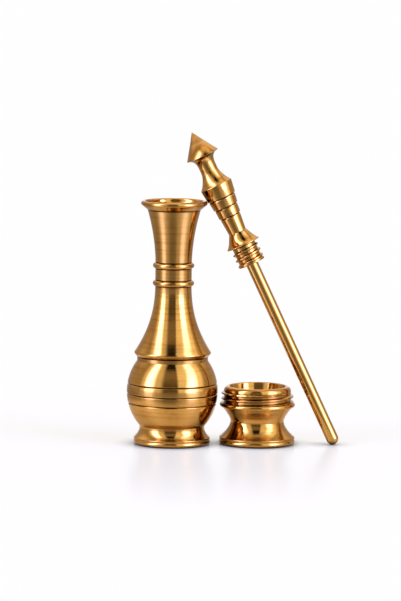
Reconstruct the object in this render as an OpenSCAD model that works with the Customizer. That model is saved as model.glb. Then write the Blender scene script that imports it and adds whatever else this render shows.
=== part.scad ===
// Turned brass kohl container: a bottle, its screw-in stopper with an applicator rod, and a small pot.
// The bottle stands on z = 0 with its axis on the Z axis.
// The stopper leans on the bottle's rim, and the pot stands beside the bottle.
// Lengths are in millimetres. Outlines are written as [radius, height] and turned about their own axis.

/* [Bottle heights] */
// Height of the foot, up to the crisp edge under the bowl
foot_h = 7.4; // [6.6:0.1:9]
// Height of the bowl, up to the seam under the skirt
bowl_h = 27.8; // [23:0.1:34]
// Height of the undercut from the seam to the skirt lip
skirt_rise = 1.7; // [1.2:0.1:2.2]
// Height of the concave shoulder above the skirt lip
shoulder_h = 26.7; // [22:0.1:33]
// Height of the straight neck that carries the two rings
neck_h = 9.6; // [8:0.1:12]
// Height of the trumpet above the neck
trumpet_h = 21; // [17:0.1:26]
// Height of the rim above the trumpet
rim_h = 3.6; // [3.2:0.1:4.6]

/* [Bottle radii] */
// Largest radius of the bowl
bowl_r = 18.25; // [15:0.05:22]
// Radius of the arc that the bowl wall follows
bowl_arc_r = 21.1; // [20:0.1:26]
// Height of the bowl's widest line above its lower edge
bowl_belly_h = 13.9; // [11.5:0.1:16]
// Overhang of the skirt lip beyond the band under it
skirt_overhang = 1.3; // [0.8:0.05:2]
// Radius of the straight neck
neck_r = 7.3; // [6.6:0.05:8.8]
// Radius at the top of the trumpet
trumpet_r = 10.65; // [9.5:0.05:12.2]
// Outer radius of the rolled rim
rim_r = 13.3; // [12.4:0.05:16]
// Radius of the roll of the rim
rim_roll_r = 0.95; // [0.8:0.05:1.1]
// Flare of the foot beyond its waist
foot_flare = 2.4; // [1.6:0.05:3.2]
// Height of the foot's sharp lip above the table
foot_lip_h = 2.7; // [2.2:0.05:3.2]
// Inset of the base circle from the foot's lip
foot_inset = 1.5; // [1:0.05:2]
// Height of the band under the skirt
band_h = 1.5; // [1.2:0.05:2]

/* [Bottle details] */
// Radius of the half-round rings on the neck
ring_r = 1.15; // [0.9:0.05:1.4]
// Height by which a ring stands out of the neck
ring_proud = 1; // [0.7:0.05:1.1]
// Distance from each end of the neck to the middle of a ring
ring_inset = 1.25; // [1.2:0.05:1.6]
// Heights of the three grooves above the bowl's lower edge
bowl_grooves = [9.3, 13.1, 17.1];
// Width of a groove at the surface
groove_w = 0.7; // [0.4:0.05:1]
// Depth of a groove
groove_d = 0.4; // [0.2:0.05:0.6]
// Depth of the flange's seat below the rim
seat_drop = 4.5; // [4:0.1:5.4]
// Depth of the plug's bore beyond the end of the closed plug
plug_bore_extra = 1.5; // [1:0.1:3]
// Thickness of the bowl's wall
bowl_wall = 2.2; // [1.6:0.1:2.6]
// Thickness of the foot under the chamber
foot_floor = 4.2; // [3:0.1:5]
// Step from the plug's bore in to the neck's bore
neck_bore_step = 0.7; // [0.4:0.05:1.2]
// Height of the spigot that holds the neck on the bowl
neck_spigot_h = 3.3; // [2.4:0.1:4]
// Height of the spigot that holds the foot in the bowl
foot_spigot_h = 2.2; // [1.6:0.1:3]
// Wall of the bowl outside a spigot or socket
spigot_wall = 1.8; // [1.4:0.1:2.2]
// Wall of a spigot
spigot_t = 1.5; // [1.2:0.1:1.7]
// Round of the chamber's lower corner
chamber_round = 1; // [0.6:0.1:1.6]

/* [Stopper] */
// Height of the pointed cone
cone_h = 10.3; // [8:0.05:11]
// Radius of the cone's sharp lip
cone_r = 6.8; // [5.6:0.05:7.5]
// Height of the waisted neck under the cone
waist_h = 13; // [11:0.1:16]
// Radius of that neck at its narrowest
waist_r = 3.5; // [3.2:0.02:4.2]
// Radius of the shoulder ring
shoulder_r = 6.6; // [6.2:0.05:7.8]
// Height of the straight band under the shoulder ring
shoulder_band_h = 2.1; // [1:0.1:3.5]
// Length of the tapering grip, from the shoulder ring to the first bend of the flange
grip_h = 20.6; // [18:0.1:24]
// Radius of the grip at its narrowest
grip_r = 3.62; // [3.5:0.02:4.1]
// Distances of the three grip steps below the shoulder ring
grip_steps = [5.4, 9.4, 13.4];
// Radius at the foot of each grip step
grip_step_r = [5.55, 4.75, 4.2];
// Drop of the radius at a grip step
grip_step_d = 0.35; // [0.2:0.05:0.5]
// Length of the flared flange
flange_h = 5.5; // [4.6:0.1:6.6]
// Overhang of the flange's sharp lip beyond the plug
flange_overhang = 1.25; // [0.7:0.05:1.8]
// Length of the relief between the flange and the thread
relief_h = 1.3; // [0.8:0.1:2]
// Length of the threaded plug
plug_h = 7.1; // [6:0.1:8.6]
// Radius over the plug's thread
plug_r = 5.65; // [5.5:0.05:6]
// Depth of the plug's thread
plug_thread_d = 0.65; // [0.4:0.05:0.9]
// Radius of the applicator rod
rod_r = 2.46; // [2:0.02:2.8]
// Gap between the chamber's floor and the tip of the rod when the bottle is closed
tip_gap = 0.5; // [0.4:0.1:3]
// Depth of the rod's hole in the plug
rod_hole_h = 10; // [8:0.1:12]

/* [Pot] */
// Height of the pot
pot_h = 23.4; // [20:0.1:28]
// Radius of the pot's foot lip
pot_foot_r = 15.3; // [13:0.05:18]
// Height of the pot's foot lip above the table
pot_lip_h = 2.8; // [2:0.05:3.4]
// Radius of the pot's waist
pot_waist_r = 10.7; // [9.5:0.05:12.5]
// Height of the pot's waist
pot_waist_h = 9.4; // [8:0.05:10.4]
// Radius of the bead under the thread
pot_bead_r = 15.15; // [14.8:0.05:18]
// Distance from the middle of the bead up to the top of the pot
pot_bead_drop = 7.5; // [6:0.05:8]
// Half of the bead's height
pot_bead_half = 0.95; // [0.7:0.05:1.1]
// Radius over the pot's thread
pot_thread_r = 14.5; // [13.9:0.05:14.7]
// Length of the pot's thread
pot_thread_h = 4; // [3.2:0.05:4.4]
// Radius of the plain collar above the thread
pot_collar_r = 13.45; // [12.8:0.05:13.8]
// Round of the collar's outer edge
pot_collar_round = 1.85; // [0.5:0.05:2]
// Radius of the pot's round cavity
pot_cavity_r = 11.15; // [9.2:0.05:11.6]
// Depth of the cavity
pot_cavity_h = 9.8; // [8:0.1:11]
// Radius that the cavity loses from its rim down to its lower corner
pot_cavity_draft = 1.8; // [0:0.1:3]
// Radius of the cavity's rounded lower corner
pot_corner_r = 2; // [1:0.1:3]

/* [Layout and fits] */
// Gap between the bowl and the pot beside it
pot_gap = 0.8; // [0.5:0.1:6]
// Distance of the pot behind the bottle's axis
pot_back = 2.8; // [0:0.1:6]
// Distance from the pot's foot to the tip of the leaning rod
tip_space = 15; // [12:0.1:24]
// Distance of the rod's tip behind the bottle's axis
tip_back = 2; // [0:0.1:8]
// Distance at which the leaning rod passes behind the bottle's axis
lean_back = 4; // [0:0.1:8]
// Gap between the rim and the grip that leans on it
lean_gap = 0.25; // [0.15:0.05:0.5]
// Radial gap of the soldered spigots
spigot_gap = 0.05; // [0.02:0.01:0.1]
// Radial gap of the rod in its hole
rod_gap = 0.02; // [0.01:0.01:0.05]
// Radial gap of the plug in its bore
plug_gap = 0.15; // [0.05:0.05:0.2]
// Radial gap of the flange in its seat
flange_gap = 0.35; // [0.2:0.05:0.6]
// Small bevel on machined corners
edge_break = 0.3; // [0.2:0.05:0.4]

/* [Hidden] */
brass = "#b98a3e";
brass_light = "#cfa053";
brass_dark = "#a3752f";
few_steps = 8;
steps = 14;
$fn = 96;

// Heights of the bottle's edges above the table
bowl_z = foot_h;
seam_z = bowl_z + bowl_h;
lip_z = seam_z + skirt_rise;
neck_z = lip_z + shoulder_h;
trumpet_z = neck_z + neck_h;
rim_z = trumpet_z + trumpet_h;
bottle_h = rim_z + rim_h;

// The bowl's arc gives the radii at both its ends, and the band, skirt and foot follow them
belly_z = bowl_z + bowl_belly_h;
function bowl_at(z, wall = 0) =
    bowl_r - bowl_arc_r + sqrt(pow(bowl_arc_r - wall, 2) - pow(z - belly_z, 2));
band_z = seam_z - band_h;
band_r = bowl_at(band_z);
skirt_r = band_r + skirt_overhang;
foot_waist_r = bowl_at(bowl_z);
foot_r = foot_waist_r + foot_flare;
base_r = foot_r - foot_inset;
upper_spigot_r = band_r - spigot_wall;
upper_bore_r = upper_spigot_r - spigot_t;
lower_spigot_r = foot_waist_r - spigot_wall;
lower_bore_r = lower_spigot_r - spigot_t;

// Mouth of the bottle: a shallow dish, the flange's seat and the plug's bore
rim_axis = [rim_r - rim_roll_r, bottle_h - rim_roll_r];
mouth_r = rim_r - 2 * rim_roll_r;
flange_r = plug_r + flange_overhang;
dish_r = flange_r + flange_gap;
seat_z = bottle_h - seat_drop;
plug_bore_r = plug_r + plug_gap;
neck_bore_r = plug_bore_r - neck_bore_step;
plug_bore_h = relief_h + plug_h + plug_bore_extra;

// Tangents of the bottle's flowing curves, in the direction of travel along the outline
skirt_start = [-0.2, 0.3] * shoulder_h;
neck_end = [0, 0.386 * shoulder_h];
trumpet_start = [0, 0.07 * trumpet_h];
trumpet_end = [0.15, 0.5] * trumpet_h;
dish_tangent = [0, -2];
throat_drop = 1;
throat_start = [0, -8];
throat_end = [4, -8];

// Tangents of the foot of the bottle, which the pot's foot repeats
foot_start = [1, 0.9];
foot_lip_end = [0.1, 1];
foot_lip_start = [-0.46, 0.38] * (foot_h - foot_lip_h);
foot_waist_end = [0, 0.36 * (foot_h - foot_lip_h)];

// Tangents and small insets of the stopper's handle
flange_start = [-1.7, 1.3];
grip_end = [0, 1.6];
step_taper = 0.1;
shoulder_taper = 0.25;
shoulder_start = [-1.6, 1.6];
waist_end = [0, 1.8];
waist_low = 0.5 * waist_h;
waist_high = 0.62 * waist_h;
waist_start = [0, 2.2];
cone_end = [2, 0.7];
cone_inset = 1;

// Tangents and insets of the pot
pot_foot_start = [-0.29, 0.21] * (pot_waist_h - pot_lip_h);
pot_waist_end = [0, 0.39 * (pot_waist_h - pot_lip_h)];
pot_waist_start = [0.25, 1.6];
pot_bead_end = [1.2, 1.6];
pot_bead_inset = 0.6;

// Distances along the stopper, from the tip of the rod up to its other edges
rod_h = seat_z - relief_h - plug_h - foot_floor - tip_gap;
rod_top = rod_h + rod_hole_h;
plug_s = rod_h;
thread_top_s = plug_s + plug_h;
flange_s = thread_top_s + relief_h;
grip_s = flange_s + flange_h;
shoulder_s = grip_s + grip_h;
cone_s = shoulder_s + waist_h;
apex_s = cone_s + cone_h;

// Places of the pot and of the rod's tip on the table
pot_x = bowl_r + pot_bead_r + pot_gap;
tip_x = pot_x + pot_foot_r + tip_space;
tip_reach = norm([tip_x, tip_back]);
tip_out = sqrt(pow(tip_reach, 2) - pow(lean_back, 2));
lean_turn = atan2(tip_back, tip_x) - asin(lean_back / tip_reach);

// The lean follows from the rim: the grip, as wide as it is where it passes the rim, just clears it
rim_up = rim_axis[1] - rod_r;
function lean_for(reach) = acos(reach / norm([tip_out, rim_up])) - atan2(rim_up, tip_out);
function grip_at(lean, width) =
    lookup(rod_r + (rim_up + width * sin(lean)) / cos(lean), grip_table);
function rim_reach(lean, width) = max([
    for (a = rim_angles)
        let (aside = lean_back - rim_axis[0] * sin(a))
            if (abs(aside) < width)
                rim_axis[0] * cos(a) * cos(lean) + sqrt(pow(width, 2) - pow(aside, 2))
]);
rim_angles = [-20:1:60];
grip_table = [
    [grip_s, grip_r],
    [shoulder_s - grip_steps[2], grip_step_r[2] + grip_step_d],
    [shoulder_s - grip_steps[1], grip_step_r[1] + grip_step_d],
    [shoulder_s - grip_steps[0], grip_step_r[0] + grip_step_d],
    [shoulder_s, shoulder_r]
];
first_lean = lean_for(rim_axis[0] + rim_roll_r + shoulder_r);
rim_width = rim_roll_r + lean_gap + grip_at(first_lean, shoulder_r);
lean = lean_for(rim_reach(first_lean, rim_width));

// Points of an arc about c from angle a to angle b
function arc(c, r, a, b, n = steps) = [
    for (i = [0:n])
        c + r * [cos(a + (b - a) * i / n), sin(a + (b - a) * i / n)]
];

// Points of a smooth curve from p to q, leaving along u and arriving along v
function flow(p, u, q, v, n = steps) = [
    for (i = [0:n])
        let (t = i / n, k = 1 - t)
            pow(k, 3) * p + 3 * k * k * t * (p + u) + 3 * k * t * t * (q - v) + pow(t, 3) * q
];

// Points up the bowl's wall between two heights
function bowl_span(z0, z1, wall = 0, n = 8) = [
    for (i = [0:n])
        let (z = z0 + (z1 - z0) * i / n) [bowl_at(z, wall), z]
];

// Solid turned from an outline
module turned(outline) {
    rotate_extrude()
        polygon(outline);
}

// A half-round ring of the neck, seen as a bump in the outline
function neck_ring(z) =
    let (a = acos((ring_r - ring_proud) / ring_r))
        arc([neck_r + ring_proud - ring_r, z], ring_r, -a, a, 10);

module bottle_neck() {
    roll = rim_axis - [trumpet_r, rim_z];
    roll_start = atan2(roll[1], roll[0]) - asin(rim_roll_r / norm(roll)) - 90;
    spigot_z = seam_z + neck_spigot_h;
    socket_r = upper_spigot_r + spigot_gap;
    bore_end = seat_z - plug_bore_h;
    outside = concat(
        [[socket_r, seam_z], [band_r, seam_z]],
        flow([skirt_r, lip_z], skirt_start, [neck_r, neck_z], neck_end),
        neck_ring(neck_z + ring_inset),
        neck_ring(trumpet_z - ring_inset),
        flow([neck_r, trumpet_z], trumpet_start, [trumpet_r, rim_z], trumpet_end),
        arc(rim_axis, rim_roll_r, roll_start, 180)
    );
    inside = concat(
        flow([mouth_r, rim_axis[1]], dish_tangent, [dish_r, seat_z + edge_break], dish_tangent),
        [
            [dish_r, seat_z],
            [plug_bore_r + edge_break, seat_z],
            [plug_bore_r, seat_z - edge_break],
            [plug_bore_r, bore_end],
            [neck_bore_r, bore_end - neck_bore_step]
        ],
        flow([neck_bore_r, neck_z - throat_drop], throat_start, [upper_bore_r, spigot_z], throat_end),
        [[socket_r, spigot_z]]
    );
    color(brass)
        turned(concat(outside, inside));
}

module bottle_bowl() {
    grooves = [for (g = bowl_grooves) bowl_z + g];
    starts = concat([bowl_z], [for (g = grooves) g + groove_w / 2]);
    ends = concat([for (g = grooves) g - groove_w / 2], [band_z]);
    chamber_reach = upper_bore_r + bowl_arc_r - bowl_r;
    chamber_top = belly_z + sqrt(pow(bowl_arc_r - bowl_wall, 2) - pow(chamber_reach, 2));
    socket_z = bowl_z + foot_spigot_h;
    socket_r = lower_spigot_r + spigot_gap;
    spigot_z = seam_z + neck_spigot_h;
    outside = [
        for (i = [0:len(starts) - 1])
            each concat(
                bowl_span(starts[i], ends[i]),
                i < len(grooves) ? [[bowl_at(grooves[i]) - groove_d, grooves[i]]] : []
            )
    ];
    spigot = [
        [band_r, seam_z],
        [upper_spigot_r, seam_z],
        [upper_spigot_r, spigot_z - edge_break],
        [upper_spigot_r - edge_break, spigot_z],
        [upper_bore_r, spigot_z]
    ];
    color(brass_light)
        turned(concat(
            outside, spigot,
            bowl_span(chamber_top, socket_z, bowl_wall, steps),
            [[socket_r, socket_z], [socket_r, bowl_z]]
        ));
}

module bottle_foot() {
    spigot_z = bowl_z + foot_spigot_h;
    corner = [lower_bore_r - chamber_round, foot_floor + chamber_round];
    color(brass)
        turned(concat(
            [[0, 0]],
            flow([base_r, 0], foot_start, [foot_r, foot_lip_h], foot_lip_end, few_steps),
            flow([foot_r, foot_lip_h], foot_lip_start, [foot_waist_r, bowl_z], foot_waist_end),
            [
                [lower_spigot_r, bowl_z],
                [lower_spigot_r, spigot_z - edge_break],
                [lower_spigot_r - edge_break, spigot_z],
                [lower_bore_r, spigot_z]
            ],
            arc(corner, chamber_round, 0, -90, few_steps),
            [[0, foot_floor]]
        ));
}

// Lays a piece of the stopper, built up from its tip, against the rim
module leaned() {
    rotate([0, 0, lean_turn])
        translate([tip_out, lean_back, rod_r])
            rotate([0, -lean, 0])
                translate([0, 0, -rod_r])
                    children();
}

module stopper_handle() {
    hole_r = rod_r + rod_gap;
    plug_root_r = plug_r - plug_thread_d;
    grip = [
        for (i = [len(grip_steps) - 1:-1:0])
            let (s = shoulder_s - grip_steps[i], r = grip_step_r[i])
                each [[r, s - groove_w / 2], [r - step_taper, s], [r + grip_step_d, s]]
    ];
    low = [waist_r, shoulder_s + waist_low];
    high = [waist_r, shoulder_s + waist_high];
    under_lip = [cone_r - cone_inset, cone_s - edge_break];
    color(brass_light)
        leaned()
            turned(concat(
                [
                    [hole_r, plug_s],
                    [plug_root_r, plug_s],
                    [plug_r, plug_s + plug_thread_d],
                    [plug_r, thread_top_s - plug_thread_d],
                    [plug_root_r, thread_top_s],
                    [plug_root_r, flange_s],
                    [flange_r, flange_s]
                ],
                flow(
                    [flange_r, flange_s + edge_break], flange_start,
                    [grip_r, grip_s], grip_end, few_steps
                ),
                grip,
                [[shoulder_r - shoulder_taper, shoulder_s - shoulder_band_h]],
                flow([shoulder_r, shoulder_s], shoulder_start, low, waist_end, few_steps),
                flow(high, waist_start, under_lip, cone_end, few_steps),
                [[cone_r, cone_s], [0, apex_s], [0, plug_s + rod_hole_h], [hole_r, plug_s + rod_hole_h]]
            ));
}

module applicator_rod() {
    color(brass_dark)
        leaned()
            turned(concat(
                arc([0, rod_r], rod_r, -90, 0),
                [[rod_r, rod_top - edge_break], [rod_r - edge_break, rod_top], [0, rod_top]]
            ));
}

module powder_pot() {
    bead_z = pot_h - pot_bead_drop;
    thread_z = bead_z + pot_bead_half + edge_break;
    thread_top = thread_z + pot_thread_h;
    collar = [pot_collar_r - pot_collar_round, pot_h - pot_collar_round];
    floor_z = pot_h - pot_cavity_h;
    corner = [pot_cavity_r - pot_cavity_draft - pot_corner_r, floor_z + pot_corner_r];
    under_bead = [pot_collar_r + pot_bead_inset, bead_z - pot_bead_half];
    waist = [pot_waist_r, pot_waist_h];
    lip = [pot_foot_r, pot_lip_h];
    color(brass_light)
        translate([pot_x, pot_back, 0])
            turned(concat(
                [[0, 0]],
                flow([pot_foot_r - foot_inset, 0], foot_start, lip, foot_lip_end, few_steps),
                flow(lip, pot_foot_start, waist, pot_waist_end),
                flow(waist, pot_waist_start, under_bead, pot_bead_end, few_steps),
                arc([pot_bead_r - pot_bead_half, bead_z], pot_bead_half, -60, 60, few_steps),
                [
                    [pot_collar_r, thread_z],
                    [pot_thread_r, thread_z],
                    [pot_thread_r, thread_top],
                    [pot_collar_r, thread_top]
                ],
                arc(collar, pot_collar_round, 0, 90, few_steps),
                [[pot_cavity_r + edge_break, pot_h], [pot_cavity_r, pot_h - edge_break]],
                arc(corner, pot_corner_r, 0, -90, few_steps),
                [[0, floor_z]]
            ));
}

bottle_neck();
bottle_bowl();
bottle_foot();
stopper_handle();
applicator_rod();
powder_pot();
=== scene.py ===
"""Looks of a turned brass kohl container: a bottle, its leaning stopper with the rod, and a small pot."""

import logging
import math
from dataclasses import dataclass
from enum import Enum
from typing import Any, ClassVar, Sequence

import bpy
from mathutils import Euler, Matrix, Vector


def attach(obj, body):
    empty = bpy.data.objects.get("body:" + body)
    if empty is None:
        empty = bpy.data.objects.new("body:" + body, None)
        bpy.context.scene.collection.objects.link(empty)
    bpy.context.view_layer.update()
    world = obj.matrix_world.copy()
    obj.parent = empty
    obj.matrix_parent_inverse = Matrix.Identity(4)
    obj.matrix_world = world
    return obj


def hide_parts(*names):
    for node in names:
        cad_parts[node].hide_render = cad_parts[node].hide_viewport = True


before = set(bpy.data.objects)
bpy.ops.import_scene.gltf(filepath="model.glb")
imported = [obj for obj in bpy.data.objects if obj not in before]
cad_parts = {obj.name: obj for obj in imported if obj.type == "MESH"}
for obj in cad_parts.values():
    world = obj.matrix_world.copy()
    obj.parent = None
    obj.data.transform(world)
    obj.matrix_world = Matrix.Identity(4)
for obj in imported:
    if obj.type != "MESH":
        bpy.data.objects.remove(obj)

MM = 0.001
Point = tuple[float, float]
Span = tuple[float, float]
Colour = tuple[float, float, float]
Piece = bpy.types.Object
log = logging.getLogger("kohl_container")


class Body(Enum):
    """The bodies that the pieces ride on."""

    BOTTLE = "bottle"
    STOPPER = "stopper"
    POT = "pot"


class Outline:
    """Outline of a turned piece, in millimetres of radius and height."""

    # A foot's bead: radius as a share of the lip's height, gap to the floor and distance inside the lip
    BEAD_SHARE = 0.42
    BEAD_GAP = 0.05
    BEAD_INSET = 0.08
    # The edge above the bead: height as a share of the lip's, and distance inside the lip
    EDGE_SHARE = 0.8
    EDGE_INSET = 0.3

    def __init__(self, radius: float, height: float) -> None:
        """Starts the outline at a radius and a height."""
        self.points: list[Point] = [(radius, height)]
        self.corners: list[tuple[int, float]] = []

    def to(self, *points: Point, soft: float = 0) -> "Outline":
        """Adds straight lines.

        Args:
            points: The points that the lines run to.
            soft: Reach of the round on each of those points, 0 for a plain corner.

        Returns:
            The outline itself.
        """
        for point in points:
            self.points.append(point)
            if soft:
                self.corners.append((len(self.points) - 1, soft))
        return self

    def flow(self, start: Point, end: Point, arrive: Point, steps: int, rise: float = 1) -> "Outline":
        """Adds a smooth curve from the last point.

        Args:
            start: Tangent on leaving the last point.
            end: Point that the curve runs to.
            arrive: Tangent on reaching that point.
            steps: Number of lines in the curve.
            rise: Length of which the tangents are shares, 1 where they are in millimetres.

        Returns:
            The outline itself.
        """
        (pr, pz), (qr, qz) = self.points[-1], end
        for i in range(1, steps + 1):
            t = i / steps
            k = 1 - t
            weights = (k**3, 3 * k * k * t, 3 * k * t * t, t**3)
            radii = (pr, pr + start[0] * rise, qr - arrive[0] * rise, qr)
            heights = (pz, pz + start[1] * rise, qz - arrive[1] * rise, qz)
            self.points.append(
                (sum(w * r for w, r in zip(weights, radii)), sum(w * z for w, z in zip(weights, heights)))
            )
        return self

    def arc(self, centre: Point, radius: float, first: float, last: float, steps: int) -> "Outline":
        """Adds an arc, joined to the last point by a line.

        Args:
            centre: Centre of the arc.
            radius: Radius of the arc.
            first: Angle at which it starts, in degrees.
            last: Angle at which it ends, in degrees.
            steps: Number of lines in the arc.

        Returns:
            The outline itself.
        """
        for i in range(steps + 1):
            a = math.radians(first + (last - first) * i / steps)
            self.points.append((centre[0] + radius * math.cos(a), centre[1] + radius * math.sin(a)))
        return self

    def footing(self, lip: Point, inset: float) -> "Outline":
        """Adds the underside of a foot, the round bead it stands on and the edge above the bead.

        Args:
            lip: Widest point of the foot, at which the outline arrives.
            inset: Distance of the flat underside from it.

        Returns:
            The outline itself.
        """
        bead = self.BEAD_SHARE * lip[1]
        self.to((lip[0] - inset, 0), soft=0.15)
        self.arc((lip[0] - self.BEAD_INSET - bead, bead + self.BEAD_GAP), bead, -60, 40, 12)
        self.to((lip[0] - self.EDGE_INSET, self.EDGE_SHARE * lip[1]), soft=0.25)
        return self.to(lip, soft=0.3)

    def rounded(self, steps: int = 5) -> list[Point]:
        """Rounds the marked corners.

        Args:
            steps: Number of lines in a round.

        Returns:
            The points of the finished outline.
        """
        points = list(self.points)
        for index, reach in sorted(self.corners, reverse=True):
            corner = Vector(points[index])
            first, before = self._walk(points, index, -1, reach)
            last, after = self._walk(points, index, 1, reach)
            curve = [
                tuple(before * (1 - t) ** 2 + corner * 2 * t * (1 - t) + after * t * t)
                for t in (i / steps for i in range(steps + 1))
            ]
            points[first + 1 : last] = curve
        return points

    @staticmethod
    def _walk(points: list[Point], index: int, way: int, reach: float) -> tuple[int, Vector]:
        """Walks along the outline from a corner.

        Args:
            points: The outline.
            index: Index of the corner.
            way: 1 forwards, -1 backwards.
            reach: Distance to walk.

        Returns:
            Index of the first point beyond that distance, and the place at it.
        """
        left, here = reach, Vector(points[index])
        while 0 <= index + way < len(points):
            index += way
            there = Vector(points[index])
            length = (there - here).length
            if length > left:
                return index, here + (there - here) * (left / length)
            left, here = left - length, there
        return index, here


class Lathe:
    """Turns outlines into pieces."""

    STEPS = 176
    SMOOTH = math.radians(24)
    MERGE = 2e-6

    @classmethod
    def turn(cls, name: str, outline: Outline, place: Matrix, ring: bool = False) -> Piece:
        """Turns an outline about its axis.

        Args:
            name: Name of the piece.
            outline: Its outline.
            place: Where the piece stands in the row frame, in millimetres.
            ring: True if the outline is a closed one, away from the axis.

        Returns:
            The finished mesh object.
        """
        points = outline.rounded()
        if ring:
            points.append(points[0])
        bpy.ops.object.select_all(action="DESELECT")
        bpy.ops.mesh.primitive_plane_add(size=MM)
        piece = bpy.context.object
        piece.name = piece.data.name = name
        bpy.ops.object.mode_set(mode="EDIT")
        bpy.ops.mesh.select_all(action="SELECT")
        bpy.ops.mesh.merge(type="CENTER")
        bpy.ops.transform.translate(value=(points[0][0] * MM, 0, points[0][1] * MM))
        for (r0, z0), (r1, z1) in zip(points, points[1:]):
            bpy.ops.mesh.extrude_region_move(
                TRANSFORM_OT_translate={"value": ((r1 - r0) * MM, 0, (z1 - z0) * MM)}
            )
        cls.merge()
        bpy.ops.mesh.spin(steps=cls.STEPS, angle=math.tau, center=(0, 0, 0), axis=(0, 0, 1))
        cls.close()
        bpy.ops.object.mode_set(mode="OBJECT")
        cls.settle(piece, place)
        return piece

    @classmethod
    def merge(cls) -> None:
        """Merges doubled points in edit mode and selects the whole mesh."""
        bpy.ops.mesh.select_all(action="SELECT")
        bpy.ops.mesh.remove_doubles(threshold=cls.MERGE)
        bpy.ops.mesh.select_all(action="SELECT")

    @classmethod
    def close(cls) -> None:
        """Merges the seam and poles of the mesh in edit mode and turns its faces outwards."""
        cls.merge()
        bpy.ops.mesh.normals_make_consistent(inside=False)

    @staticmethod
    def pick(main: Piece, *others: Piece) -> None:
        """Selects some pieces and makes the first one active."""
        bpy.ops.object.select_all(action="DESELECT")
        for piece in (main, *others):
            piece.select_set(True)
        bpy.context.view_layer.objects.active = main

    @classmethod
    def settle(cls, piece: Piece, place: Matrix) -> None:
        """Puts a piece in its place and smooths its shading.

        Args:
            piece: The piece, in metres.
            place: Its place, in millimetres.
        """
        metres = place.copy()
        metres.translation = place.translation * MM
        piece.matrix_world = metres
        cls.pick(piece)
        bpy.ops.object.transform_apply(location=True, rotation=True, scale=True)
        bpy.ops.object.shade_smooth_by_angle(angle=cls.SMOOTH)

    @classmethod
    def ridge(cls, name: str, thread: "Thread", place: Matrix) -> Piece:
        """Winds a thread's ridge as a closed solid.

        Args:
            name: Name of the mesh.
            thread: The thread.
            place: Where its axis stands, in millimetres.

        Returns:
            The ridge as an object.
        """
        section = thread.section()
        bpy.ops.object.select_all(action="DESELECT")
        bpy.ops.mesh.primitive_circle_add(vertices=len(section), radius=MM, fill_type="NOTHING")
        piece = bpy.context.object
        piece.name = piece.data.name = name
        for vertex, (r, z) in zip(piece.data.vertices, section):
            vertex.co = (r * MM, 0, z * MM)
        screw = piece.modifiers.new("winding", "SCREW")
        screw.angle = math.tau * thread.turns
        screw.screw_offset = thread.pitch * thread.turns * MM
        screw.steps = screw.render_steps = round(thread.steps * thread.turns)
        bpy.ops.object.modifier_apply(modifier=screw.name)
        thread.fade(piece)
        bpy.ops.object.mode_set(mode="EDIT")
        bpy.ops.mesh.select_all(action="DESELECT")
        bpy.ops.mesh.select_non_manifold()
        bpy.ops.mesh.fill_holes(sides=0)
        cls.close()
        bpy.ops.object.mode_set(mode="OBJECT")
        piece.rotation_euler = (0, 0, thread.start)
        bpy.ops.object.transform_apply(location=True, rotation=True, scale=True)
        cls.settle(piece, place)
        return piece

    @classmethod
    def join(cls, main: Piece, *others: Piece) -> None:
        """Joins others into main."""
        cls.pick(main, *others)
        bpy.ops.object.join()


@dataclass(frozen=True)
class Thread:
    """A right-handed thread's ridge, in millimetres and turns."""

    root: float
    crest: float
    foot_half: float
    crest_half: float
    pitch: float
    bottom: float
    turns: float
    start: float
    run_out: float = 0.3
    steps: int = 96

    def section(self) -> list[Point]:
        """Section of the ridge as points of radius and height, once round."""
        soft = 0.35 * self.crest_half
        return [
            (self.root, -self.foot_half),
            (self.crest - 2.2 * soft, -self.crest_half - 0.6 * soft),
            (self.crest - 0.5 * soft, -self.crest_half + 0.2 * soft),
            (self.crest, -self.crest_half + soft),
            (self.crest, self.crest_half - soft),
            (self.crest - 0.5 * soft, self.crest_half - 0.2 * soft),
            (self.crest - 2.2 * soft, self.crest_half + 0.6 * soft),
            (self.root, self.foot_half),
        ]

    def fade(self, piece: Piece) -> None:
        """Sinks both ends of the wound ridge into the core and lifts it to its height.

        Args:
            piece: The wound ridge, with its axis on Z.
        """
        total = self.turns * self.pitch
        for vertex in piece.data.vertices:
            x, y, z = vertex.co / MM
            radius = math.hypot(x, y)
            turn = min(max(z / total, 0), 1) * self.turns
            near = min(turn, self.turns - turn) / self.run_out
            sink = (1 - min(near, 1)) ** 2 * (self.crest - self.root + 0.1)
            scale = (radius - sink) / radius
            vertex.co = Vector((x * scale, y * scale, z + self.bottom)) * MM


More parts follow.
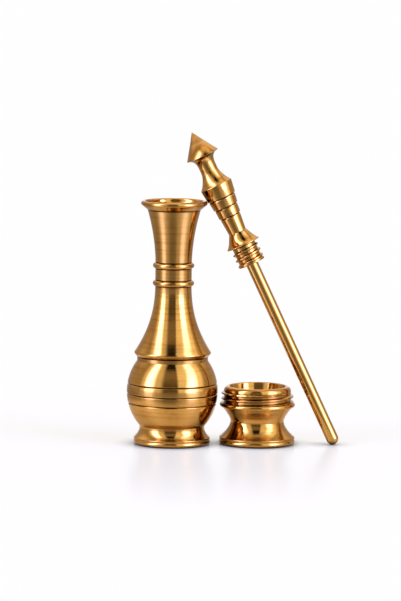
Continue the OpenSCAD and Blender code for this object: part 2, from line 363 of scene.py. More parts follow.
class Signal:
    """A shader socket whose arithmetic adds Math nodes."""

    def __init__(self, graph: "Graph", socket: bpy.types.NodeSocket) -> None:
        """Keeps a socket and the graph it belongs to."""
        self.graph = graph
        self.socket = socket

    def math(self, operation: str, *values: Any) -> "Signal":
        """Adds a Math node with some inputs, signals or numbers."""
        return self.graph.node("Math", {"operation": operation}, dict(enumerate(values)))

    def __add__(self, other: Any) -> "Signal":
        """Sum."""
        return self.math("ADD", self, other)

    __radd__ = __add__

    def __sub__(self, other: Any) -> "Signal":
        """Difference."""
        return self.math("SUBTRACT", self, other)

    def __rsub__(self, other: Any) -> "Signal":
        """Difference, the other way round."""
        return self.math("SUBTRACT", other, self)

    def __mul__(self, other: Any) -> "Signal":
        """Product."""
        return self.math("MULTIPLY", self, other)

    __rmul__ = __mul__

    def __truediv__(self, other: Any) -> "Signal":
        """Quotient."""
        return self.math("DIVIDE", self, other)

    def __pow__(self, other: Any) -> "Signal":
        """Power."""
        return self.math("POWER", self, other)

    def sibling(self, output: Any) -> "Signal":
        """Another output of the same node, by name or number."""
        return Signal(self.graph, self.socket.node.outputs[output])

    def ramp(self, low: float, high: float) -> "Signal":
        """Smooth step from 0 at the low value to 1 at the high one."""
        settings = {"interpolation_type": "SMOOTHSTEP"}
        return self.graph.node("MapRange", settings, {0: self, 1: low, 2: high, 3: 0.0, 4: 1.0})


class Graph:
    """Node tree of a material or of the world."""

    def __init__(self, owner: bpy.types.Material | bpy.types.World) -> None:
        """Empties the owner's tree.

        Args:
            owner: The material or the world.
        """
        owner.use_nodes = True
        self.tree = owner.node_tree
        self.tree.nodes.clear()

    def node(self, kind: str, settings: dict[str, Any], inputs: dict[Any, Any], output: Any = 0) -> Signal:
        """Adds a node.

        Args:
            kind: Type of the node, without the ShaderNode that all begin with.
            settings: Its settings, which are set first.
            inputs: Values or links of its sockets, by name or number.
            output: The output to return, by name or number.

        Returns:
            The chosen output.
        """
        made = self.tree.nodes.new("ShaderNode" + kind)
        for name, value in settings.items():
            setattr(made, name, value)
        for key, value in inputs.items():
            if isinstance(value, Signal):
                self.tree.links.new(value.socket, made.inputs[key])
            else:
                made.inputs[key].default_value = value
        return Signal(self, made.outputs[output] if made.outputs else None)

    def split(self, vector: Signal) -> tuple[Signal, Signal, Signal]:
        """The three parts of a vector."""
        x = self.node("SeparateXYZ", {}, {0: vector})
        return x, x.sibling(1), x.sibling(2)

    def scaled(self, vector: Any, factor: Any) -> Signal:
        """A vector or colour times a number."""
        return self.node("VectorMath", {"operation": "SCALE"}, {0: vector, 3: factor})

    def rays(self) -> tuple[Signal, Signal]:
        """Whether a ray comes from the camera, and whether it comes off a shiny surface."""
        seen = self.node("LightPath", {}, {}, "Is Camera Ray")
        return seen, seen.sibling("Is Glossy Ray")

    def mix(self, share: Any, first: Any, second: Any, blend: str = "MIX") -> Signal:
        """Mixes two colours.

        Args:
            share: Share of the second colour.
            first: First colour, as a signal or three numbers.
            second: Second colour, as a signal or three numbers.
            blend: The Mix node's blend type.

        Returns:
            The mixed colour.
        """
        colours = [c if isinstance(c, Signal) else (*c, 1) for c in (first, second)]
        settings = {"data_type": "RGBA", "blend_type": blend}
        return self.node("Mix", settings, {0: share, 6: colours[0], 7: colours[1]}, 2)


@dataclass(frozen=True)
class Recess:
    """A band of heights darkened with painted shade towards the axis, in millimetres."""

    low: float
    high: float
    deep: float
    shallow: float
    soft: float = 0.08

    def at(self, r: float, z: float) -> "Recess":
        """The recess moved to a point, where its own numbers are reaches from it."""
        return Recess(z + self.low, z + self.high, r + self.deep, r + self.shallow, self.soft)

    def clean(self, r: Signal, z: Signal) -> Signal:
        """Share of brass without painted shade at a distance from the axis and a height along it.

        Args:
            r: The distance.
            z: The height.

        Returns:
            1 outside the recess, 0 in its depth.
        """
        above = z.ramp(self.low - self.soft, self.low + self.soft)
        below = 1 - z.ramp(self.high - self.soft, self.high + self.soft)
        return 1 - above * below * (1 - r.ramp(self.deep, self.shallow))


@dataclass(frozen=True)
class Mark:
    """Share of a change in the surface where a value passes from low to high."""

    low: float
    high: float
    share: float

    def over(self, value: Signal) -> Signal:
        """The share at a value."""
        return value.ramp(self.low, self.high) * self.share


@dataclass(frozen=True)
class Hollow:
    """Painted shade where other brass shuts the surface in within a reach, in millimetres."""

    reach: float
    painted_shade: Mark


@dataclass(frozen=True)
class Rings:
    """Noise in rings round an axis: rings and drift round the axis in a millimetre, and octaves."""

    density: float
    drift: float
    detail: float

    def noise(self, g: Graph, x: Signal, y: Signal, r: Signal, z: Signal) -> Signal:
        """Makes the noise.

        Args:
            g: The node tree.
            x: Place across the axis, in millimetres.
            y: Place across the axis, in millimetres.
            r: Distance from the axis.
            z: Place along the axis.

        Returns:
            The noise, from 0 to 1.
        """
        parts = {0: r * self.density, 1: z * self.density, 2: x * self.drift}
        place = g.node("CombineXYZ", {}, parts)
        inputs = {"Vector": place, "W": y * self.drift, "Scale": 1.0, "Detail": self.detail, "Roughness": 0.6}
        return g.node("TexNoise", {"noise_dimensions": "4D"}, inputs)


@dataclass(frozen=True)
class TurnedBrass:
    """Polished brass with the fine rings that the turning tool leaves, and painted shade in its hollows and
    recesses.
    """

    polished: Colour = (0.73, 0.4, 0.09)
    tarnished: Colour = (0.42, 0.18, 0.03)
    # Colour of the painted shade in recesses and hollows
    painted_shade: Colour = (0.07, 0.03, 0.008)
    roughness: float = 0.1
    fine_depth: float = 0.011
    coarse_depth: float = 0.014
    anisotropy: float = 0.6
    wear: float = 1.0
    fine: Rings = Rings(4.2, 0.1, 2.0)
    coarse: Rings = Rings(1.1, 0.03, 1.0)
    cloud_tarnish: Mark = Mark(0.48, 0.72, 0.35)
    speck_tarnish: Mark = Mark(0.6, 0.78, 0.2)
    coarse_tarnish: Mark = Mark(0.48, 0.75, 0.4)
    fine_tarnish: Mark = Mark(0.5, 0.75, 0.35)
    cloud_roughness: Mark = Mark(0.4, 0.8, 0.05)
    ring_roughness: float = 0.16
    # Painted shade from ambient occlusion: a short reach darkens grooves and threads, a long one darkens
    # brass beside other pieces
    shaded_hollows: tuple[Hollow, ...] = (
        Hollow(1.2, Mark(0.35, 0.75, 0.85)),
        Hollow(14.0, Mark(0.48, 0.85, 0.9)),
    )

    def material(self, name: str, place: Matrix, recesses: Sequence[Recess] = ()) -> bpy.types.Material:
        """Makes the material for a piece.

        Args:
            name: Name of the material.
            place: Place of the piece's axis in the row frame, in millimetres.
            recesses: Bands darkened with painted shade.

        Returns:
            The material.
        """
        made = bpy.data.materials.new(name)
        g = Graph(made)
        coordinates = g.node("TexCoord", {}, {}, "Object")
        mapped = g.node(
            "Mapping",
            {"vector_type": "TEXTURE"},
            {
                "Vector": coordinates,
                "Location": place.translation * MM,
                "Rotation": place.to_euler("XYZ"),
                "Scale": (MM,) * 3,
            },
        )
        x, y, z = g.split(mapped)
        r = (x * x + y * y) ** 0.5
        fine = self.fine.noise(g, x, y, r, z)
        coarse = self.coarse.noise(g, x, y, r, z)
        cloud_inputs = {"Vector": mapped, "Scale": 0.12, "Detail": 4.0, "Roughness": 0.6}
        speck_inputs = {"Vector": mapped, "Scale": 1.4, "Detail": 3.0, "Roughness": 0.7}
        cloud = g.node("TexNoise", {}, cloud_inputs)
        speck = g.node("TexNoise", {}, speck_inputs)
        patches = self.cloud_tarnish.over(cloud) + self.speck_tarnish.over(speck)
        lines = self.coarse_tarnish.over(1 - coarse) + self.fine_tarnish.over(fine)
        colour = g.mix((patches + lines) * self.wear, self.polished, self.tarnished)
        # Painted shade: darker in the recesses and where ambient occlusion finds the surface shut in
        clean = 1.0
        for recess in recesses:
            clean = clean * recess.clean(r, z)
        for hollow in self.shaded_hollows:
            sky = g.node("AmbientOcclusion", {"samples": 6}, {"Distance": hollow.reach * MM}, "AO")
            clean = clean * (1 - hollow.painted_shade.over(1 - sky))
        colour = g.mix(1 - clean, colour, self.painted_shade)
        uneven = (fine - 0.5) * self.ring_roughness + self.cloud_roughness.over(cloud)
        rough = self.roughness + uneven * self.wear
        height = fine * self.fine_depth + coarse * self.coarse_depth
        bump = g.node("Bump", {}, {"Strength": 1.0, "Distance": MM, "Height": height})
        shader = g.node(
            "BsdfPrincipled",
            {},
            {
                "Base Color": colour,
                "Metallic": 1.0,
                "Roughness": rough,
                "Anisotropic": self.anisotropy,
                "Anisotropic Rotation": 0.25,
                "Normal": bump,
            },
        )
        g.node("OutputMaterial", {}, {"Surface": shader})
        return made


@dataclass(frozen=True)
class Fit:
    """Sizes that the bottle and the stopper share, in millimetres."""

    bottle_h: float = 97.8
    rim_r: float = 13.3
    rim_roll: float = 0.95
    seat_z: float = 93.3
    flange_r: float = 6.9
    plug_r: float = 5.65
    plug_gap: float = 0.15
    flange_gap: float = 0.35
    relief_h: float = 1.3
    plug_h: float = 7.1
    foot_floor: float = 4.2
    edge: float = 0.3


@dataclass
class Bottle:
    """The bottle: foot, bowl and neck, with their axis on Z."""

    fit: Fit
    finish: TurnedBrass
    bowl_z: float = 7.4
    seam_z: float = 35.2
    lip_z: float = 36.9
    neck_z: float = 63.6
    trumpet_z: float = 73.2
    rim_z: float = 94.2
    bowl_r: float = 18.25
    arc_r: float = 21.1
    belly_z: float = 21.3
    wall: float = 2.2
    band_h: float = 1.5
    skirt_over: float = 1.3
    neck_r: float = 7.3
    trumpet_r: float = 10.65
    flare: float = 2.4
    lip_h: float = 2.7
    inset: float = 1.5
    ring_r: float = 1.15
    ring_proud: float = 1.0
    ring_inset: float = 1.25
    grooves: tuple[float, ...] = (9.3, 13.1, 17.1)
    groove_w: float = 0.7
    groove_d: float = 0.4
    neck_bore: float = 5.1
    upper_spigot: float = 3.3
    lower_spigot: float = 2.2
    spigot_wall: float = 1.8
    spigot_t: float = 1.5
    spigot_gap: float = 0.05
    # Depth of the plug's bore beyond the plug, and where the bore starts to widen, below the neck's lower end
    bore_spare: float = 1.5
    throat_drop: float = 1
    # Tangents of the curves, as shares of the curve's rise
    shoulder_leave: Point = (-0.2, 0.3)
    shoulder_arrive: Point = (0, 0.386)
    trumpet_leave: Point = (0, 0.07)
    trumpet_arrive: Point = (0.15, 0.5)
    foot_leave: Point = (-0.46, 0.38)
    foot_arrive: Point = (0, 0.36)
    # Tangents of the bore's curves, in millimetres
    dish_tangent: Point = (0, -2)
    throat_start: Point = (0, -8)
    throat_end: Point = (4, -8)
    # Painted shade in recesses, as reaches from a point of the outline
    groove_shade: Recess = Recess(-0.12, 0.42, -0.3, -0.03)
    ring_shade: tuple[Recess, ...] = (Recess(-1.45, -0.95, 0.1, 0.5), Recess(0.95, 1.45, 0.1, 0.5))
    skirt_shade: Recess = Recess(-0.15, 0.5, 0.2, 0.7)
    rim_shade: Recess = Recess(-0.25, 0.4, 0.2, 0.7)

    def bowl_at(self, z: float, wall: float = 0) -> float:
        """Radius of the bowl's wall at a height, less the wall's thickness."""
        return self.bowl_r - self.arc_r + math.sqrt((self.arc_r - wall) ** 2 - (z - self.belly_z) ** 2)

    @property
    def band_r(self) -> float:
        """Radius of the band under the skirt."""
        return self.bowl_at(self.seam_z - self.band_h)

    def build(self) -> None:
        """Builds the three pieces and dresses them."""
        finish = self.finish.material("turned_brass_bottle", Matrix.Identity(4), self.recesses())
        pieces = {"bottle_neck": self.neck(), "bottle_bowl": self.bowl(), "bottle_foot": self.foot()}
        for node, piece in pieces.items():
            place_piece(piece, Body.BOTTLE, node, finish)

    @property
    def ring_heights(self) -> Span:
        """Heights of the two rings."""
        return self.neck_z + self.ring_inset, self.trumpet_z - self.ring_inset

    def recesses(self) -> list[Recess]:
        """Places darkened with painted shade: the grooves, the sides of the rings, under the skirt and under
        the rim.
        """
        made = [self.groove_shade.at(self.bowl_at(z), z) for z in (self.bowl_z + g for g in self.grooves)]
        for z in self.ring_heights:
            made += [side.at(self.neck_r, z) for side in self.ring_shade]
        made.append(self.skirt_shade.at(self.band_r, self.seam_z))
        made.append(self.rim_shade.at(self.trumpet_r, self.rim_z))
        return made

    def neck(self) -> Piece:
        """Neck with the skirt, two rings, trumpet, rolled rim and stepped bore."""
        f = self.fit
        spigot_r = self.band_r - self.spigot_wall
        bore_r = spigot_r - self.spigot_t
        socket_r = spigot_r + self.spigot_gap
        skirt = (self.band_r + self.skirt_over, self.lip_z)
        shoulder = self.neck_z - self.lip_z
        trumpet = self.rim_z - self.trumpet_z
        roll = (f.rim_r - f.rim_roll, f.bottle_h - f.rim_roll)
        reach = (roll[0] - self.trumpet_r, roll[1] - self.rim_z)
        start = math.degrees(math.atan2(reach[1], reach[0]) - math.asin(f.rim_roll / math.hypot(*reach))) - 90
        dish_r = f.flange_r + f.flange_gap
        bore = f.plug_r + f.plug_gap
        end = f.seat_z - f.relief_h - f.plug_h - self.bore_spare
        spigot_z = self.seam_z + self.upper_spigot
        line = Outline(socket_r, self.seam_z).to((self.band_r, self.seam_z), soft=0.12)
        line.to(skirt, soft=0.45)
        line.flow(self.shoulder_leave, (self.neck_r, self.neck_z), self.shoulder_arrive, 40, shoulder)
        a = math.degrees(math.acos((self.ring_r - self.ring_proud) / self.ring_r))
        for z in self.ring_heights:
            line.arc((self.neck_r + self.ring_proud - self.ring_r, z), self.ring_r, -a, a, 18)
        line.to((self.neck_r, self.trumpet_z))
        line.flow(self.trumpet_leave, (self.trumpet_r, self.rim_z), self.trumpet_arrive, 36, trumpet)
        line.arc(roll, f.rim_roll, start, 180, 20)
        line.flow(self.dish_tangent, (dish_r, f.seat_z + f.edge), self.dish_tangent, 18)
        line.to((dish_r, f.seat_z), (bore + f.edge, f.seat_z), (bore, f.seat_z - f.edge), (bore, end))
        throat_z = self.neck_z - self.throat_drop
        line.to((self.neck_bore, end - (bore - self.neck_bore)), (self.neck_bore, throat_z))
        line.flow(self.throat_start, (bore_r, spigot_z), self.throat_end, 24)
        line.to((socket_r, spigot_z))
        return Lathe.turn("turned_neck", line, Matrix.Identity(4), ring=True)

    def bowl(self) -> Piece:
        """Globular bowl with its three grooves, and the spigot that holds the neck."""
        spigot_r = self.band_r - self.spigot_wall
        bore_r = spigot_r - self.spigot_t
        inner = self.bowl_at(self.bowl_z) - self.spigot_wall + self.spigot_gap
        spigot_z = self.seam_z + self.upper_spigot
        reach = bore_r + self.arc_r - self.bowl_r
        top = self.belly_z + math.sqrt((self.arc_r - self.wall) ** 2 - reach**2)
        socket_z = self.bowl_z + self.lower_spigot
        line = Outline(inner, self.bowl_z).to((self.bowl_at(self.bowl_z), self.bowl_z))
        low, half = self.bowl_z, self.groove_w / 2
        for groove in [self.bowl_z + g for g in self.grooves]:
            self._wall(line, low, groove - half, 0)
            line.corners.append((len(line.points) - 1, 0.15))
            line.to((self.bowl_at(groove) - self.groove_d, groove), soft=0.08)
            low = groove + half
            line.to((self.bowl_at(low), low), soft=0.15)
        self._wall(line, low, self.seam_z - self.band_h, 0)
        line.to((self.band_r, self.seam_z), (spigot_r, self.seam_z), (spigot_r, spigot_z), (bore_r, spigot_z))
        self._wall(line, top, socket_z, self.wall)
        line.to((inner, socket_z))
        return Lathe.turn("turned_bowl", line, Matrix.Identity(4), ring=True)

    def _wall(self, line: Outline, first: float, last: float, wall: float) -> None:
        """Adds the bowl's wall between two heights to an outline.

        Args:
            line: The outline.
            first: Height at which the wall starts.
            last: Height at which it ends.
            wall: 0 outside, the wall's thickness inside.
        """
        steps = max(4, round(abs(last - first) / 0.55))
        heights = [first + (last - first) * i / steps for i in range(1, steps + 1)]
        if wall:
            heights.insert(0, first)
        line.to(*[(self.bowl_at(z, wall), z) for z in heights])

    def foot(self) -> Piece:
        """Flared foot with its sharp lip, and the spigot that holds it in the bowl."""
        waist = (self.bowl_at(self.bowl_z), self.bowl_z)
        lip = (waist[0] + self.flare, self.lip_h)
        rise = self.bowl_z - self.lip_h
        spigot_r = waist[0] - self.spigot_wall
        bore_r = spigot_r - self.spigot_t
        spigot_z = self.bowl_z + self.lower_spigot
        line = Outline(0, 0).footing(lip, self.inset)
        line.flow(self.foot_leave, waist, self.foot_arrive, 24, rise)
        line.to((spigot_r, self.bowl_z), (spigot_r, spigot_z), (bore_r, spigot_z))
        line.arc((bore_r - 1, self.fit.foot_floor + 1), 1, 0, -90, 8).to((0, self.fit.foot_floor))
        return Lathe.turn("turned_foot", line, Matrix.Identity(4))


@dataclass
class Stopper:
    """The stopper: its handle with the threaded plug, and the applicator rod."""

    fit: Fit
    finish: TurnedBrass
    rod_finish: TurnedBrass
    cone_h: float = 10.3
    cone_r: float = 6.8
    waist_h: float = 13.0
    waist_r: float = 3.5
    shoulder_r: float = 6.6
    shoulder_band: float = 2.1
    grip_h: float = 20.6
    grip_r: float = 3.62
    step_drops: tuple[float, ...] = (13.4, 9.4, 5.4)
    step_radii: tuple[float, ...] = (4.2, 4.75, 5.55)
    step_rise: float = 0.35
    step_w: float = 0.7
    flange_h: float = 5.5
    root_r: float = 4.8
    end_r: float = 5.5
    end_h: float = 0.95
    rod_r: float = 2.46
    tip_gap: float = 0.5
    rod_hole: float = 10.0
    tip: Point = (64.5, 2.0)
    back: float = 4.0
    lean_gap: float = 0.25
    # Degrees of the rim that are searched for the place where the grip touches it
    rim_search: tuple[int, int] = (-20, 61)
    # Part of its height over which the waist is thinnest
    waist_span: Span = (0.5, 0.62)
    # Tangents of the curves, in millimetres
    flange_leave: Point = (-1.7, 1.3)
    grip_arrive: Point = (-0.8, 1.2)
    waist_leave: Point = (-1.6, 1.6)
    waist_arrive: Point = (0, 1.8)
    cone_leave: Point = (0, 2.2)
    cone_arrive: Point = (2, 0.7)
    # Painted shade in recesses, as reaches from a point of the outline
    step_shade: Recess = Recess(-0.4, 0.08, -0.15, 0.2)
    cone_shade: Recess = Recess(-0.8, -0.1, -1.4, -0.3)
    flange_shade: Recess = Recess(-0.5, 0.1, 0.0, 1.05)

    @property
    def rod_h(self) -> float:
        """Length of the rod that shows."""
        f = self.fit
        return f.seat_z - f.relief_h - f.plug_h - f.foot_floor - self.tip_gap

    @property
    def levels(self) -> dict[str, float]:
        """Distances of the handle's edges from the tip of the rod."""
        flange = self.rod_h + self.fit.plug_h + self.fit.relief_h
        grip = flange + self.flange_h
        shoulder = grip + self.grip_h
        cone = shoulder + self.waist_h
        apex = cone + self.cone_h
        return {"flange": flange, "grip": grip, "shoulder": shoulder, "cone": cone, "apex": apex}

    def _grip_at(self, lean: float, width: float) -> float:
        """Widest radius of the grip where it passes the rim.

        Args:
            lean: Lean of the stopper, in radians.
            width: Distance of its axis from the rim.

        Returns:
            The radius, in millimetres.
        """
        at = self.levels
        table = [(at["grip"], self.grip_r)]
        table += [(at["shoulder"] - d, r + self.step_rise) for d, r in zip(self.step_drops, self.step_radii)]
        table.append((at["shoulder"], self.shoulder_r))
        up = self.fit.bottle_h - self.fit.rim_roll - self.rod_r
        s = self.rod_r + (up + width * math.sin(lean)) / math.cos(lean)
        s = min(max(s, table[0][0]), table[-1][0])
        for (s0, r0), (s1, r1) in zip(table, table[1:]):
            if s <= s1:
                return r0 + (r1 - r0) * (s - s0) / (s1 - s0)
        return table[-1][1]

    def place(self) -> Matrix:
        """Place of the stopper, leaning on the bottle's rim with its tip on the floor, in millimetres."""
        rim = self.fit.rim_r - self.fit.rim_roll
        up = self.fit.bottle_h - self.fit.rim_roll - self.rod_r
        reach = math.hypot(*self.tip)
        out = math.sqrt(reach**2 - self.back**2)
        turn = math.atan2(self.tip[1], self.tip[0]) - math.asin(self.back / reach)

        def lean_for(distance: float) -> float:
            """Lean at which the axis passes a point of the rim at a distance."""
            return math.acos(distance / math.hypot(out, up)) - math.atan2(up, out)

        first = lean_for(rim + self.fit.rim_roll + self.shoulder_r)
        width = self.fit.rim_roll + self.lean_gap + self._grip_at(first, self.shoulder_r)
        reaches = []
        for degrees in range(*self.rim_search):
            a = math.radians(degrees)
            aside = self.back - rim * math.sin(a)
            if abs(aside) < width:
                reaches.append(rim * math.cos(a) * math.cos(first) + math.sqrt(width**2 - aside**2))
        lean = lean_for(max(reaches))
        return (
            Matrix.Rotation(turn, 4, "Z")
            @ Matrix.Translation((out, self.back, self.rod_r))
            @ Matrix.Rotation(-lean, 4, "Y")
            @ Matrix.Translation((0, 0, -self.rod_r))
        )

    def build(self) -> None:
        """Builds the two pieces and dresses them."""
        place, at = self.place(), self.levels
        recesses = [
            self.step_shade.at(r, at["shoulder"] - drop) for drop, r in zip(self.step_drops, self.step_radii)
        ]
        recesses.append(self.cone_shade.at(self.cone_r, at["cone"]))
        recesses.append(self.flange_shade.at(self.fit.plug_r, at["flange"]))
        finish = self.finish.material("turned_brass_handle", place, recesses)
        place_piece(self.handle(place), Body.STOPPER, "stopper_handle", finish)
        rod_finish = self.rod_finish.material("drawn_brass_rod", place)
        place_piece(self.rod(place), Body.STOPPER, "applicator_rod", rod_finish)

    def handle(self, place: Matrix) -> Piece:
        """Handle with its cone, waist, stepped grip, flange and threaded plug.

        Args:
            place: Place of the stopper, in millimetres.

        Returns:
            The mesh object.
        """
        f, at = self.fit, self.levels
        hole = self.rod_r + 0.02
        end_top = self.rod_h + self.end_h
        line = Outline(hole, self.rod_h).to((self.end_r, self.rod_h), (self.end_r, end_top), soft=0.25)
        line.to((self.root_r, end_top + 0.5), (self.root_r, at["flange"]))
        line.to((f.flange_r, at["flange"]), soft=0.12)
        line.to((f.flange_r, at["flange"] + f.edge), soft=0.1)
        line.flow(self.flange_leave, (self.grip_r, at["grip"]), self.grip_arrive, 20)
        for drop, r in zip(self.step_drops, self.step_radii):
            s = at["shoulder"] - drop
            line.to((r, s - self.step_w), (r - 0.22, s - 0.12), (r + self.step_rise, s + 0.08), soft=0.08)
        line.to((self.shoulder_r - 0.25, at["shoulder"] - self.shoulder_band), soft=0.2)
        line.to((self.shoulder_r, at["shoulder"]), soft=0.2)
        low, high = (at["shoulder"] + share * self.waist_h for share in self.waist_span)
        line.flow(self.waist_leave, (self.waist_r, low), self.waist_arrive, 20).to((self.waist_r, high))
        line.flow(self.cone_leave, (self.cone_r - 1, at["cone"] - f.edge), self.cone_arrive, 20)
        line.to((self.cone_r, at["cone"]), soft=0.12).to((0, at["apex"]))
        line.to((0, self.rod_h + self.rod_hole), (hole, self.rod_h + self.rod_hole), (hole, self.rod_h))
        piece = Lathe.turn("turned_handle", line, place)
        thread = Thread(
            root=self.root_r - 0.1,
            crest=f.plug_r,
            foot_half=0.85,
            crest_half=0.32,
            pitch=2.4,
            bottom=self.rod_h + 0.5,
            turns=2.85,
            start=math.radians(150),
        )
        Lathe.join(piece, Lathe.ridge("plug_thread", thread, place))
        return piece

    def rod(self, place: Matrix) -> Piece:
        """Slim rod with a rounded tip.

        Args:
            place: Place of the stopper, in millimetres.

        Returns:
            The mesh object.
        """
        top = self.rod_h + self.rod_hole
        line = Outline(0, 0).arc((0, self.rod_r), self.rod_r, -90, 0, 16)
        for i in range(1, 9):
            line.to((self.rod_r, self.rod_r + (top - self.fit.edge - self.rod_r) * i / 8))
        line.to((self.rod_r - self.fit.edge, top), (0, top))
        return Lathe.turn("drawn_rod", line, place)


@dataclass
class Pot:
    """The small pot with its threaded rim."""

    finish: TurnedBrass
    place_at: tuple[float, float, float] = (34.2, 2.8, 0)
    # Tangents of the foot's curve, as shares of its rise, and of the curve to the bead, in millimetres
    foot_leave: Point = (-0.29, 0.21)
    foot_arrive: Point = (0, 0.39)
    bead_leave: Point = (0.25, 1.6)
    bead_arrive: Point = (1.2, 1.6)
    height: float = 23.4
    foot_r: float = 15.3
    lip_h: float = 2.8
    inset: float = 1.5
    waist_r: float = 10.7
    waist_h: float = 9.4
    bead_r: float = 15.15
    bead_drop: float = 7.5
    bead_half: float = 0.95
    collar_r: float = 13.45
    collar_round: float = 1.85
    thread_r: float = 14.5
    cavity_r: float = 11.15
    cavity_h: float = 9.8
    cavity_draft: float = 1.8
    corner_r: float = 2.0
    edge: float = 0.3

    def build(self) -> None:
        """Builds the pot and dresses it."""
        place = Matrix.Translation(self.place_at)
        place_piece(self.cup(place), Body.POT, "powder_pot", self.finish.material("turned_brass_pot", place))

    def cup(self, place: Matrix) -> Piece:
        """Waisted pot with a bead, a thread, a rounded collar and a shallow cavity.

        Args:
            place: Place of the pot, in millimetres.

        Returns:
            The mesh object.
        """
        lip, waist = (self.foot_r, self.lip_h), (self.waist_r, self.waist_h)
        rise = self.waist_h - self.lip_h
        bead_z = self.height - self.bead_drop
        floor_z = self.height - self.cavity_h
        line = Outline(0, 0).footing(lip, self.inset)
        line.flow(self.foot_leave, waist, self.foot_arrive, 26, rise)
        line.flow(self.bead_leave, (self.collar_r + 0.6, bead_z - self.bead_half), self.bead_arrive, 20)
        line.arc((self.bead_r - self.bead_half, bead_z), self.bead_half, -60, 75, 12)
        line.to((self.collar_r, bead_z + self.bead_half + 0.1))
        turn = self.collar_round
        line.arc((self.collar_r - turn, self.height - turn), turn, 0, 90, 12)
        line.to((self.cavity_r + self.edge, self.height), (self.cavity_r, self.height - self.edge), soft=0.12)
        corner = (self.cavity_r - self.cavity_draft - self.corner_r, floor_z + self.corner_r)
        line.arc(corner, self.corner_r, 0, -90, 12).to((0, floor_z))
        piece = Lathe.turn("turned_pot", line, place)
        thread = Thread(
            root=self.collar_r - 0.15,
            crest=self.thread_r,
            foot_half=0.85,
            crest_half=0.28,
            pitch=2.2,
            bottom=16.47,
            turns=2.22,
            start=math.radians(-120),
            run_out=0.2,
        )
        Lathe.join(piece, Lathe.ridge("pot_thread", thread, place))
        return piece


def place_piece(piece: Piece, body: Body, node: str, finish: bpy.types.Material) -> None:
    """Dresses a piece and lets it stand for its node of the frame.

    Args:
        piece: The piece.
        body: The body it rides on.
        node: The node it stands for.
        finish: Its material.
    """
    piece.data.materials.clear()
    piece.data.materials.append(finish)
    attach(piece, body.value)
    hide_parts(node)
    log.info("%s: %d faces, rides on %s", piece.name, len(piece.data.polygons), body.value)


@dataclass(frozen=True)
class Window:
    """A softbox as the object sees it, in degrees.

    Its edges lean and its strength fades as it rises, both in full from Studio.LEAN_TOP upwards.
    """

    west: float
    east: float
    soft_west: float
    soft_east: float
    top: float
    soft_top: float
    strength: float
    tint: Colour
    west_lean: float = 0.0
    east_lean: float = 0.0
    fade: float = 0.0


@dataclass(frozen=True)
class Floor:
    """The pale floor, which keeps shadows, a painted contact shadow and a faint reflection, in metres.

    The brass mirrors it in other colours than the camera sees it in, rougher by mirrored_blur.
    """

    radius: float = 9
    middle_x: float = 0.017
    paper: Colour = (0.9, 0.92, 0.74)
    mirrored_paper: Colour = (0.86, 0.8, 0.52)
    sheen: Colour = (1, 0.98, 0.93)
    mirrored_sheen: Colour = (0.8, 0.8, 0.75)
    roughness: float = 0.22
    mirrored_blur: float = 0.14
    # Reach and power of the painted contact shadow: ambient occlusion darkens the floor's white glow
    shadow_reach: float = 0.009
    shadow_power: float = 2.2
    whiteness: float = 0.7
    reflection: float = 0.19
    reflection_span: Span = (0.05, 0.19)
    front: Span = (0.032, 0.07)
    around: Span = (0.07, 0.13)
    mirrored_near: float = 0.2
    mirrored_far: float = 0.72

    def build(self) -> None:
        """Makes the floor."""
        bpy.ops.object.select_all(action="DESELECT")
        bpy.ops.mesh.primitive_circle_add(vertices=96, radius=self.radius, fill_type="NGON")
        floor = bpy.context.object
        floor.name = "floor"
        floor.data.materials.append(self.material())

    def material(self) -> bpy.types.Material:
        """Makes the floor's material."""
        made = bpy.data.materials.new("pale_floor")
        g = Graph(made)
        seen, glossy = g.rays()
        x, y, _ = g.split(g.node("TexCoord", {}, {}, "Object"))
        away = ((x - self.middle_x) * (x - self.middle_x) + y * y) ** 0.5
        # Painted contact shadow: ambient occlusion darkens the white glow that the camera sees round the feet
        close = g.node("AmbientOcclusion", {"samples": 8}, {"Distance": self.shadow_reach}, "AO")
        matt = g.node("BsdfDiffuse", {}, {"Color": g.mix(glossy, self.paper, self.mirrored_paper)})
        white = g.node("Emission", {}, {"Color": (1, 1, 1, 1), "Strength": close**self.shadow_power})
        lit = g.node("MixShader", {}, {0: seen * self.whiteness, 1: matt, 2: white})
        sheen_colour = g.mix(glossy, self.sheen, self.mirrored_sheen)
        rough = self.roughness + self.mirrored_blur * glossy
        sheen = g.node("BsdfGlossy", {}, {"Color": sheen_colour, "Roughness": rough})
        near = self.reflection * (1 - away.ramp(*self.reflection_span))
        front = (0 - y).ramp(*self.front)
        dark = front.math("MAXIMUM", front, away.ramp(*self.around))
        share = near * (1 - glossy) + glossy * (self.mirrored_near + self.mirrored_far * dark)
        surface = g.node("MixShader", {}, {0: share, 1: lit, 2: sheen})
        g.node("OutputMaterial", {}, {"Surface": surface})
        return made


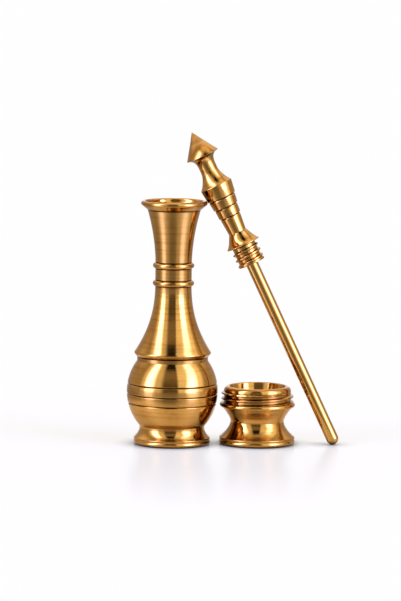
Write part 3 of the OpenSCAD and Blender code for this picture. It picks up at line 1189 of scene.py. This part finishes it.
@dataclass
class Studio:
    """Light and camera, and the floor."""

    LEAN_TOP: ClassVar[float] = 45
    camera_at: tuple[float, float, float] = (10.9, -1709.3, 249.6)
    pitch: float = 6.4
    roll: float = 0.67
    focal_pixels: float = 4300
    long_side: float = 601
    sensor: float = 36
    windows: tuple[Window, ...] = (
        Window(-74, -51.5, 7, 8, 58, 7, 4.0, (1.0, 1.06, 2.5), fade=0.15),
        Window(-88, -27, 7, 7, 68, 8, 0.62, (1.0, 1.0, 1.1)),
        Window(37, 64, 7, 9, 60, 8, 4.2, (1.0, 1.06, 2.7), west_lean=13, east_lean=13, fade=0.5),
        Window(15.5, 84, 2.5, 9, 68, 8, 0.92, (1.0, 1.0, 1.1), east_lean=18),
    )
    side_light: float = 0.44
    front_dark: float = 0.13
    front_lift: float = 0.14
    bounce_loss: float = 0.46
    over_light: float = 0.75
    back_light: float = 0.65
    side_tint: Colour = (1.0, 0.84, 0.76)
    # Where each of the lights above comes in, in degrees
    lift_span: Span = (15, 32)
    gap_top: Mark = Mark(45, 54, 0.95)
    side_span: Span = (20, 60)
    over_span: Span = (66, 80)
    back_rise: Span = (15, 45)
    backdrop_side: Span = (158, 172)
    backdrop_top: Span = (12, 40)
    # The share of a direction that points backwards, and the number of shiny bounces
    back_span: Span = (0.1, 0.6)
    bounce_span: Span = (1.2, 1.8)

    def build(self) -> None:
        """Sets up the whole studio."""
        self.colours()
        self.camera()
        self.world()
        Floor().build()

    @staticmethod
    def colours() -> None:
        """Shows colours as they are written."""
        bpy.context.scene.view_settings.view_transform = "Standard"

    def camera(self) -> None:
        """Makes the camera at the photograph's angle."""
        data = bpy.data.cameras.new("camera")
        data.sensor_width = self.sensor
        data.lens = self.focal_pixels * self.sensor / self.long_side
        data.clip_start, data.clip_end = 0.05, 50
        camera = bpy.data.objects.new("camera", data)
        bpy.context.scene.collection.objects.link(camera)
        camera.location = Vector(self.camera_at) * MM
        turn = Euler((math.radians(90 - self.pitch), 0, 0)).to_matrix()
        camera.rotation_euler = (turn @ Matrix.Rotation(math.radians(self.roll), 3, "Z")).to_euler()
        bpy.context.scene.camera = camera

    def world(self) -> None:
        """Makes the light: two softboxes with dim surrounds, a dark gap in front and a white backdrop.

        Light that reaches brass by way of other brass is dimmed.
        """
        world = bpy.data.worlds.new("studio")
        bpy.context.scene.world = world
        g = Graph(world)
        x, y, z = g.split(g.node("TexCoord", {}, {}, "Generated"))
        azimuth = x.math("ARCTAN2", x, 0 - y) * (180 / math.pi)
        height = z.math("ARCSINE", z) * (180 / math.pi)
        aside = azimuth.math("ABSOLUTE", azimuth)
        front = self.front_dark + height.ramp(*self.lift_span) * self.front_lift
        front = front * (1 - self.gap_top.over(height))
        side = aside.ramp(*self.side_span)
        dim = front * (1 - side) + side * self.side_light
        dim = dim + height.ramp(*self.over_span) * self.over_light
        dim = dim + y.ramp(*self.back_span) * height.ramp(*self.back_rise) * self.back_light
        studio = g.scaled(self.side_tint, dim)
        for window in self.windows:
            light = g.scaled(window.tint, self._window(azimuth, height, window))
            studio = g.mix(1.0, studio, light, "ADD")
        camera, glossy = g.rays()
        clear = camera.sibling("Is Transmission Ray")
        behind = aside.ramp(*self.backdrop_side) * (1 - height.ramp(*self.backdrop_top))
        seen = camera.math("MAXIMUM", camera, (glossy + clear) * behind)
        again = camera.sibling("Glossy Depth").ramp(*self.bounce_span)
        studio = g.scaled(studio, 1 - self.bounce_loss * again)
        colour = g.mix(seen, studio, (1, 1, 1))
        shader = g.node("Background", {}, {"Color": colour, "Strength": 1.0})
        g.node("OutputWorld", {}, {"Surface": shader})

    @classmethod
    def _window(cls, azimuth: Signal, height: Signal, window: Window) -> Signal:
        """Light of one softbox.

        Args:
            azimuth: Direction round the object, in degrees.
            height: Direction above the floor, in degrees.
            window: The softbox.

        Returns:
            Its light in that direction.
        """
        lift = height.math("MINIMUM", height.math("MAXIMUM", height / cls.LEAN_TOP, 0.0), 1.0)
        from_west, from_east = azimuth - lift * window.west_lean, azimuth - lift * window.east_lean
        west = from_west.ramp(window.west - window.soft_west, window.west + window.soft_west)
        east = from_east.ramp(window.east - window.soft_east, window.east + window.soft_east)
        top = height.ramp(window.top - window.soft_top, window.top + window.soft_top)
        return west * (1 - east) * (1 - top) * (1 - lift * window.fade) * window.strength


def main() -> None:
    """Builds the container around the frame, then the studio."""
    logging.basicConfig(level=logging.INFO, format="%(message)s")
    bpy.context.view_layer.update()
    fit = Fit()
    brass = TurnedBrass()
    drawn = TurnedBrass(roughness=0.06, fine_depth=0.0003, coarse_depth=0.0005, anisotropy=0.0, wear=0.3)
    Bottle(fit, brass).build()
    Stopper(fit, brass, drawn).build()
    Pot(brass).build()
    Studio().build()
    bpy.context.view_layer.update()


if __name__ == "__main__":
    main()
